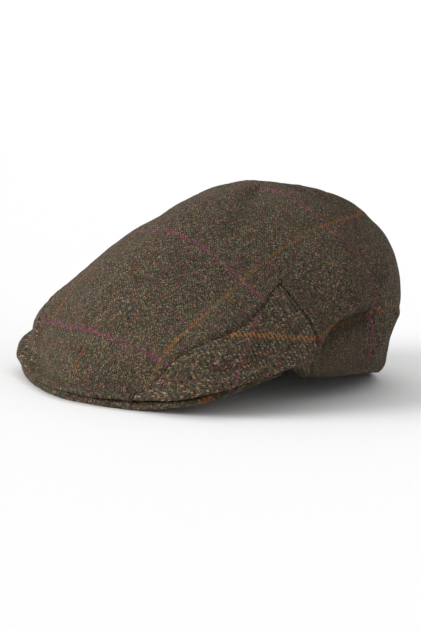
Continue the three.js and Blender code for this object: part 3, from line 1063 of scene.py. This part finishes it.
class CapCloth(bpy.types.PropertyGroup):
    """Colours and weave of the cloth, and how it is sewn."""

    dark: color_property("Dark", "Darkest yarn", srgb(22, 20, 19))
    olive: color_property("Olive", "Olive yarn", srgb(66, 70, 52))
    brown: color_property("Brown", "Brown yarn", srgb(86, 75, 64))
    slate: color_property("Slate", "Blue-grey yarn", srgb(62, 68, 74))
    rust: color_property("Rust", "Rust yarn", srgb(106, 80, 63))
    tan: color_property("Tan", "Palest yarn", srgb(162, 146, 126))
    gold: color_property("Gold", "Lengthwise check line", srgb(172, 116, 48))
    amber: color_property("Amber", "Darker part of that line", srgb(122, 78, 42))
    plum: color_property("Plum", "Crosswise check line", srgb(126, 48, 104))
    heather: color_property("Heather", "Paler part of that line", srgb(162, 72, 114))
    plum_tint: color_property("Plum Tint", "Plum tinge in the mixed wool", (0.96, 0.75, 0.87))
    rust_tint: color_property("Rust Tint", "Rust tinge in the mixed wool", (0.98, 0.8, 0.62))
    plain_tint: color_property("Plain Tint", "Where the mixed wool has no tinge", (0.86, 0.83, 0.82))
    olive_tint: color_property("Olive Tint", "Olive tinge in the mixed wool", (0.85, 0.87, 0.65))
    slate_tint: color_property("Slate Tint", "Blue tinge in the mixed wool", (0.77, 0.85, 0.92))
    thread: color_property("Thread", "Sewing thread", srgb(52, 44, 38))
    yarn: length_property("Yarn", "Width of one yarn", 0.0005)
    relief: length_property("Relief", "Depth of the weave", 0.0004)
    gold_spacing: length_property("Gold Spacing", "Between lengthwise lines", 0.06)
    gold_start: length_property("Gold Start", "First lengthwise line", 0.005)
    gold_width: length_property("Gold Width", "Width of a lengthwise line", 0.0026)
    plum_spacing: length_property("Plum Spacing", "Between crosswise lines", 0.0835)
    plum_start: length_property("Plum Start", "First crosswise line", 0.04)
    plum_width: length_property("Plum Width", "Width of a crosswise line", 0.0026)
    gusset_plum_start: length_property("Gusset Plum Start", "Crosswise line on a gusset", -0.0015)
    gusset_plum: strength_property("Gusset Plum", "Strength of that line, against the crown's", 1.5)
    gusset_ribs: share_property("Gusset Ribs", "How much a gusset's ribs show", 0.22)
    gusset_rib_yarns: bpy.props.IntProperty(
        name="Gusset Rib Yarns", description="Yarns in one of those ribs", default=6)
    peak_gold_start: length_property("Peak Gold Start", "Lengthwise line on the peak", 0.0157)
    peak_plum_start: length_property("Peak Plum Start", "Crosswise line on the peak", 0.0655)
    fuzz: share_property("Fuzz", "Soft nap of the wool", 0.06)
    seam_gap: length_property("Seam Gap", "Between panels at a seam", 0.0003)
    seam_depth: length_property("Seam Depth", "How far a seam sinks in", 0.0011)
    pucker: length_property("Pucker", "Gathering beside a seam", 0.00025)
    unevenness: length_property("Unevenness", "Softness of the cloth's surface", 0.00045)
    stitch: length_property("Stitch", "Length from stitch to stitch", 0.0036)
    thread_width: length_property("Thread Width", "Thickness of the thread", 0.0005)


class CapStage(bpy.types.PropertyGroup):
    """Floor, light and camera."""

    floor: color_property("Floor", "Floor and backdrop", (0.93, 0.93, 0.93))
    sky: strength_property("Sky", "Strength of the light all round", 0.63)
    key: strength_property("Key", "Soft main light", 4.6)
    key_spread: angle_property("Key Spread", "Width of the main light", 35)
    top: strength_property("Top", "Light from above", 0.5)
    top_spread: angle_property("Top Spread", "Width of the light from above", 50)
    azimuth: angle_property("Azimuth", "Camera round the cap", 42.23)
    elevation: angle_property("Elevation", "Camera above the floor", 8.57)
    roll: angle_property("Roll", "Camera's lean", 4.04)
    distance: length_property("Distance", "Camera to cap", 1.133)
    lens: bpy.props.FloatProperty(
        name="Lens", description="Focal length", default=102.27, unit="CAMERA")


def panel_sheet(context, form, name):
    """Cloth of the crown or of the left or right gusset, with its relief."""
    look = context.scene.flat_cap_cloth
    layout = Layout(form)
    cells = {
        "crown": ~layout.gusset_cells,
        "left": layout.left_cells,
        "right": layout.gusset_cells & ~layout.left_cells,
    }
    sheet = Sheet(form, layout, cells[name], name != "crown", look)
    return sheet.relief(seam_lines(form), look)


def cloth_sides(name, look, tone_and_painted_light, inside_tone_and_painted_light, **cut):
    """The cloth's right side and its wrong side, each lighter or darker by its own factor: painted
    light on the gussets, a darker tone on the crown's wrong side.
    """
    return [
        cloth(name, look, tone_and_painted_light, **cut),
        cloth(name + ", wrong side", look, inside_tone_and_painted_light, wrong_side=True, **cut),
    ]


class FLATCAP_OT_crown(bpy.types.Operator):
    """Build the crown of the cap: top, front and back in one shape"""

    bl_idname = "flatcap.crown"
    bl_label = "Crown"

    def execute(self, context):
        form = CapForm(context.scene.flat_cap_sizes)
        sheet = panel_sheet(context, form, "crown")
        mesh = sheet.mesh("Crown", Grain(form).crown, form.cloth, cad_shift(form))
        materials = cloth_sides("Crown cloth", context.scene.flat_cap_cloth, 1.0, 0.8)
        add_piece("Crown", mesh, materials, ["crown"])
        return {"FINISHED"}


class FLATCAP_OT_gussets(bpy.types.Operator):
    """Build the pointed gusset on each side"""

    bl_idname = "flatcap.gussets"
    bl_label = "Gussets"

    def execute(self, context):
        form = CapForm(context.scene.flat_cap_sizes)
        look = context.scene.flat_cap_cloth
        cut = {
            "gold_start": look.gold_spacing, "plum_start": look.gusset_plum_start,
            "plum_share": look.gusset_plum, "ribs": look.gusset_ribs,
            "rib_yarns": look.gusset_rib_yarns,
        }
        for name, side in (("left", 1), ("right", -1)):
            sheet = panel_sheet(context, form, name)
            grain = lambda points: Grain(form).gusset(points, side)
            mesh = sheet.mesh("Gusset_" + name, grain, form.cloth, cad_shift(form))
            # Painted light: the gussets' cloth is made lighter than the crown's, on both sides
            materials = cloth_sides("Gusset cloth " + name, look, 1.15, 1.15, **cut)
            add_piece("Gusset_" + name, mesh, materials, ["gusset_" + name])
        return {"FINISHED"}


class FLATCAP_OT_peak(bpy.types.Operator):
    """Build the stiff peak under the front"""

    bl_idname = "flatcap.peak"
    bl_label = "Peak"

    def execute(self, context):
        form = CapForm(context.scene.flat_cap_sizes)
        look = context.scene.flat_cap_cloth
        mesh = peak_mesh(form, look, cad_shift(form))
        cut = {"gold_start": look.peak_gold_start, "plum_start": look.peak_plum_start}
        # Painted light: the peak's cloth is made a little lighter than the crown's
        add_piece("Peak", mesh, [cloth("Peak cloth", look, 1.08, **cut)], ["peak"])
        return {"FINISHED"}


class FLATCAP_OT_stitching(bpy.types.Operator):
    """Sew the topstitch rows beside the back seam"""

    bl_idname = "flatcap.stitching"
    bl_label = "Stitching"

    def execute(self, context):
        form = CapForm(context.scene.flat_cap_sizes)
        look = context.scene.flat_cap_cloth
        rows = [back_stitch_row(form, side) for side in (-1, 1)]
        mesh = stitch_mesh(rows, look, cad_shift(form))
        add_piece("Stitching", mesh, [thread(look)])
        return {"FINISHED"}


def back_stitch_row(form, side):
    """Points of a stitch row beside the back seam, and their outward directions."""
    lift, rounds = 0.15, 12
    up = np.linspace(-0.93, 0.72, 260)
    turn = np.full_like(up, 180.0)
    for _ in range(rounds):
        p = form.leaned(side * turn, up)
        short = BACK_SEAM["stitch_place"] - np.abs(p[:, 0])
        turn = turn - short / form.frame_at(side * turn, up)[2]
    base, outward, _, _ = form.frame_at(side * turn, up)
    line = base + outward * form.fold_height(base)[:, None]
    keep = line[:, 1] > BACK_SEAM["stitch_start"]
    return line[keep] + outward[keep] * lift, outward[keep]


class FLATCAP_OT_stage(bpy.types.Operator):
    """Set the floor, the lights and the camera"""

    bl_idname = "flatcap.stage"
    bl_label = "Stage"

    def execute(self, context):
        setup = context.scene.flat_cap_stage
        floor = stage_floor(setup)
        lights = [
            soft_sun("Key light", (-0.42, -0.86, 0.2), setup.key_spread, setup.key),
            soft_sun("Top light", (-0.25, 0.1, 1), setup.top_spread, setup.top),
        ]
        world = bpy.data.worlds.new("Studio")
        world.use_nodes = True
        background = world.node_tree.nodes["Background"]
        background.inputs["Color"].default_value = (1, 1, 1, 1)
        background.inputs["Strength"].default_value = setup.sky
        context.scene.world = world
        context.scene.view_settings.view_transform = "Standard"
        camera = stage_camera(setup)
        context.scene.camera = camera
        return {"FINISHED"}


def stage_floor(setup):
    """Pale disc that curves up all round, far from the cap."""
    profile = [(0.5, 0), (1.2, 0), (2.4, 0), (2.9, 0.02), (3.3, 0.08), (3.5, 0.2), (3.6, 0.4)]
    count = 96
    points, faces = [(0, 0, 0)], []
    for reach, height in profile:
        for k in range(count):
            turn = 2 * math.pi * k / count
            points.append((reach * math.cos(turn), reach * math.sin(turn), height))
    for k in range(count):
        after = (k + 1) % count
        faces.append((0, 1 + k, 1 + after))
        for first in range(1, 1 + (len(profile) - 1) * count, count):
            a, b = first + k, first + after
            faces.append((a, a + count, b + count, b))
    mesh = new_mesh("Floor", points, faces)
    shade = Shade("Studio floor")
    noise = shade.noise(shade.place(), 3.0, 2.0)
    paint = tuple(setup.floor) + (1,)
    mesh.materials.append(shade.finish(Base_Color=paint, Roughness=0.8 + noise * 0.1))
    floor = bpy.data.objects.new("Floor", mesh)
    bpy.context.scene.collection.objects.link(floor)
    return floor


def soft_sun(name, place, spread, strength):
    """Even light from one side, as from a large softbox far away."""
    data = bpy.data.lights.new(name, "SUN")
    data.angle = spread
    data.energy = strength
    light = bpy.data.objects.new(name, data)
    light.location = place
    light.rotation_euler = Vector(place).to_track_quat("Z", "Y").to_euler()
    bpy.context.scene.collection.objects.link(light)
    return light


def stage_camera(setup):
    """Camera at the photo's angle to the cap, with a slight lean."""
    aim = Vector((0, -0.0107, 0.0519))
    data = bpy.data.cameras.new("Camera")
    data.lens = setup.lens
    data.sensor_width = 36
    data.shift_x, data.shift_y = 0.0103, -0.0257
    level = math.cos(setup.elevation)
    ahead, aside = math.cos(setup.azimuth), math.sin(setup.azimuth)
    back = Vector((aside * level, -ahead * level, math.sin(setup.elevation)))
    right = Vector((ahead, aside, 0))
    up = back.cross(right)
    leaned = right * math.cos(setup.roll) + up * math.sin(setup.roll)
    upright = up * math.cos(setup.roll) - right * math.sin(setup.roll)
    camera = bpy.data.objects.new("Camera", data)
    camera.rotation_euler = Matrix((leaned, upright, back)).transposed().to_euler()
    camera.location = aim + back * setup.distance
    bpy.context.scene.collection.objects.link(camera)
    return camera


class FLATCAP_PT_panel(bpy.types.Panel):
    """Lists the cap's pieces and settings in the 3D view's sidebar"""

    bl_label = "Flat Cap"
    bl_idname = "FLATCAP_PT_panel"
    bl_space_type = "VIEW_3D"
    bl_region_type = "UI"
    bl_category = "Flat Cap"

    def draw(self, context):
        layout = self.layout
        for step in STEPS:
            layout.operator(step.bl_idname)
        for settings in (
            context.scene.flat_cap_sizes, context.scene.flat_cap_cloth, context.scene.flat_cap_stage,
        ):
            box = layout.box()
            for name in settings.__annotations__:
                box.prop(settings, name)


SETTINGS = {"flat_cap_sizes": CapSizes, "flat_cap_cloth": CapCloth, "flat_cap_stage": CapStage}
STEPS = [FLATCAP_OT_crown, FLATCAP_OT_gussets, FLATCAP_OT_peak, FLATCAP_OT_stitching, FLATCAP_OT_stage]
CLASSES = list(SETTINGS.values()) + STEPS + [FLATCAP_PT_panel]


def register():
    for item in CLASSES:
        bpy.utils.register_class(item)
    for name, group in SETTINGS.items():
        setattr(bpy.types.Scene, name, bpy.props.PointerProperty(type=group))


def unregister():
    for name in SETTINGS:
        delattr(bpy.types.Scene, name)
    for item in reversed(CLASSES):
        bpy.utils.unregister_class(item)


def main():
    register()
    bpy.ops.flatcap.crown()
    bpy.ops.flatcap.gussets()
    bpy.ops.flatcap.peak()
    bpy.ops.flatcap.stitching()
    bpy.ops.flatcap.stage()


if __name__ == "__main__":
    main()
